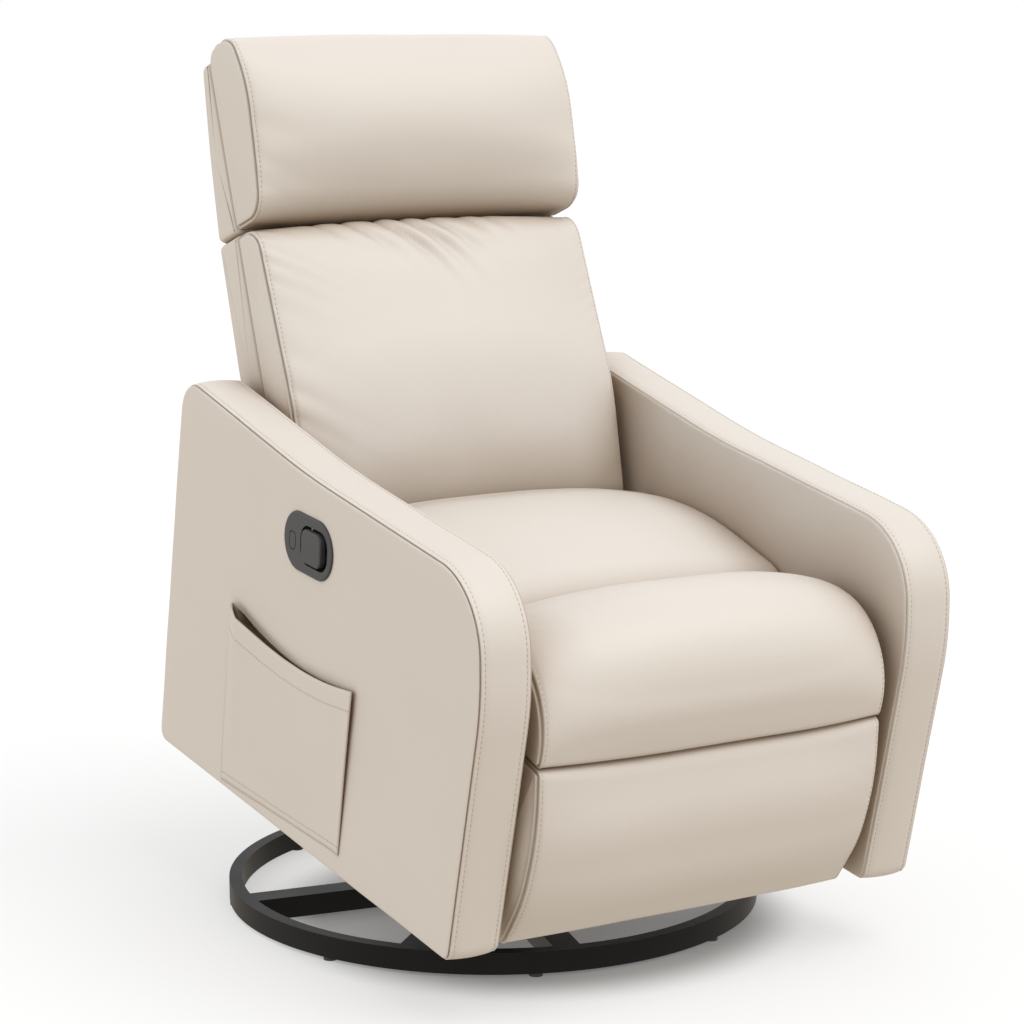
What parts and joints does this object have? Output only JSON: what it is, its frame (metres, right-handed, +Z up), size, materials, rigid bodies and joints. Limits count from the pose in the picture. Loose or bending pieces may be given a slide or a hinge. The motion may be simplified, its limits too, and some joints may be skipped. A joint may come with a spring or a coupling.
{
  "type": "swivel recliner",
  "caption": "Upholstered swivel recliner with broad padded arms, a raked high back, a flip-out footrest on swing links, a side release latch, a pocket and a spoked ring base.",
  "frame": {"origin": "on the floor under the middle of the chair, upright and closed", "axes": "+Z up, -Y towards the sitter's front, +X towards the sitter's left arm"},
  "size_m": [0.6499, 0.8107, 1.0441],
  "materials": {
    "cream_upholstery": "satin",
    "black_steel": "satin",
    "bare_steel": "satin",
    "timber": "matte",
    "dark_plastic": "matte",
    "glide_rubber": "matte"
  },
  "bodies": {
    "base": {"base_ring": "black_steel", "base_spoke_1": "black_steel", "base_spoke_2": "black_steel", "base_spoke_3": "black_steel", "base_spoke_4": "black_steel", "base_spoke_5": "black_steel", "base_spoke_6": "black_steel", "swivel_post": "black_steel", "bearing_race": "dark_plastic", "glide_pads": "glide_rubber"},
    "chassis": {"swivel_plate": "black_steel", "beam_left": "black_steel", "beam_right": "black_steel", "rail_front": "black_steel", "rail_rear": "black_steel", "mechanism_plate_left": "black_steel", "mechanism_plate_right": "black_steel", "arm_board_left": "timber", "arm_board_right": "timber", "arm_cover_left": "cream_upholstery", "arm_cover_right": "cream_upholstery", "arm_bolts": "bare_steel", "latch_bezel": "dark_plastic", "latch_pin": "bare_steel", "side_pocket": "cream_upholstery", "seat_rail_left": "timber", "seat_rail_right": "timber", "seat_posts": "timber", "seat_deck": "timber", "seat_cushion": "cream_upholstery"},
    "backrest": {"back_upright_left": "bare_steel", "back_upright_right": "bare_steel", "back_cross_low": "bare_steel", "back_cross_middle": "bare_steel", "back_cross_top": "bare_steel", "back_bracket_left": "bare_steel", "back_bracket_right": "bare_steel", "back_cushion": "cream_upholstery", "headrest_pad": "cream_upholstery", "back_shell_low": "cream_upholstery", "back_shell_top": "cream_upholstery"},
    "front_links": {"front_link_left": "bare_steel", "front_link_right": "bare_steel", "front_link_tube": "bare_steel"},
    "rear_links": {"rear_link_left": "bare_steel", "rear_link_right": "bare_steel", "rear_link_tube": "bare_steel"},
    "carrier": {"carrier_left": "bare_steel", "carrier_right": "bare_steel", "carrier_tube": "bare_steel"},
    "footrest": {"foot_board": "timber", "foot_shelf": "timber", "foot_bracket_left": "bare_steel", "foot_bracket_right": "bare_steel", "foot_pad": "cream_upholstery", "foot_roll": "cream_upholstery"},
    "paddle": {"release_paddle": "dark_plastic"}
  },
  "joints": [
    {"name": "swivel", "type": "hinge", "parent": "base", "child": "chassis", "pos_m": [0, 0.087, 0.11], "axis": [0, 0, 1], "continuous": true},
    {"name": "back_recline", "type": "hinge", "parent": "chassis", "child": "backrest", "pos_m": [0, 0.174, 0.344], "axis": [-1, 0, 0], "range_deg": [0, 45]},
    {"name": "front_link_swing", "type": "hinge", "parent": "chassis", "child": "front_links", "pos_m": [0, -0.206, 0.122], "axis": [1, 0, 0], "range_deg": [0, 55]},
    {"name": "rear_link_swing", "type": "hinge", "parent": "chassis", "child": "rear_links", "pos_m": [0, -0.146, 0.122], "axis": [1, 0, 0], "range_deg": [0, 55]},
    {"name": "carrier_level", "type": "hinge", "parent": "front_links", "child": "carrier", "pos_m": [0, -0.08708, 0.26372], "axis": [1, 0, 0], "range_deg": [-55, 0]},
    {"name": "footrest_flip", "type": "hinge", "parent": "carrier", "child": "footrest", "pos_m": [0, -0.291, 0.29], "axis": [-1, 0, 0], "range_deg": [0, 105]},
    {"name": "paddle_pull", "type": "hinge", "parent": "chassis", "child": "paddle", "pos_m": [-0.304, -0.02601, 0.48535], "axis": [0, 0.0872, -0.9962], "range_deg": [0, 28], "stiffness_Nm_per_rad": 0.6}
  ],
  "couplings": [
    {"joint": "rear_link_swing", "follows": "front_link_swing", "ratio": 1},
    {"joint": "carrier_level", "follows": "front_link_swing", "ratio": -1},
    {"joint": "footrest_flip", "follows": "front_link_swing", "ratio": 1.9091}
  ]
}
